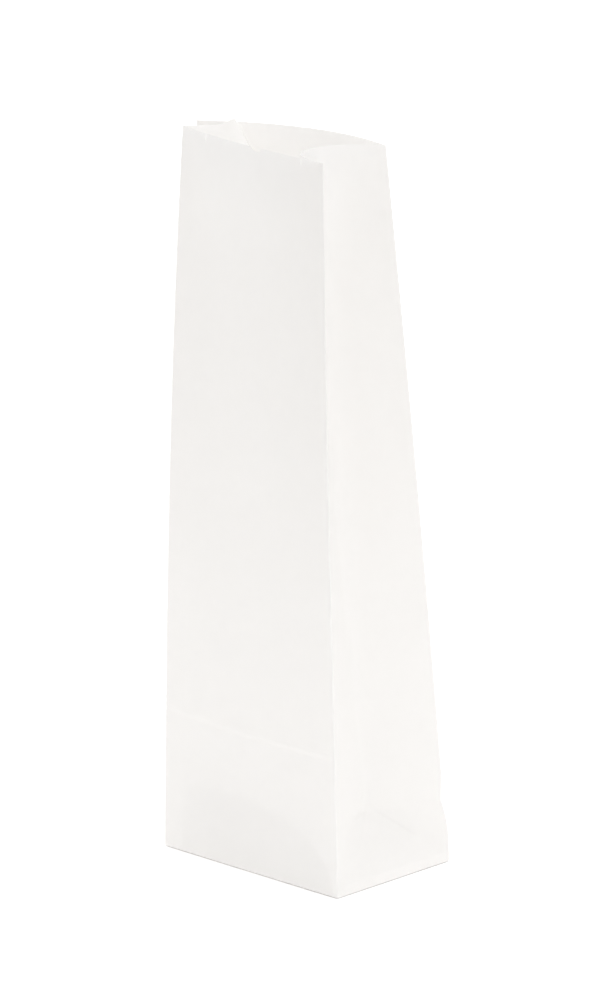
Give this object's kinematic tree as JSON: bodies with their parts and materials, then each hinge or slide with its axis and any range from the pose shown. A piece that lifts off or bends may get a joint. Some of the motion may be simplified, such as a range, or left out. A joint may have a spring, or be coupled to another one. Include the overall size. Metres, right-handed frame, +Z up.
{
  "type": "paper bag",
  "caption": "Small white paper bag with a flat block bottom, folded side gussets and an open mouth with a thumb notch, standing empty.",
  "frame": {"origin": "middle of the flat foot, on the surface that the bag stands on", "axes": "+Z up towards the mouth, -Y out of the front panel with the thumb notch, +X out of the right gusset"},
  "size_m": [0.0868, 0.0569, 0.2431],
  "materials": {
    "paper": "uncoated white kraft paper, faintly warm, with a slight machine-glazed sheen"
  },
  "bodies": {
    "root": {"paper_bag": "paper"}
  },
  "joints": []
}
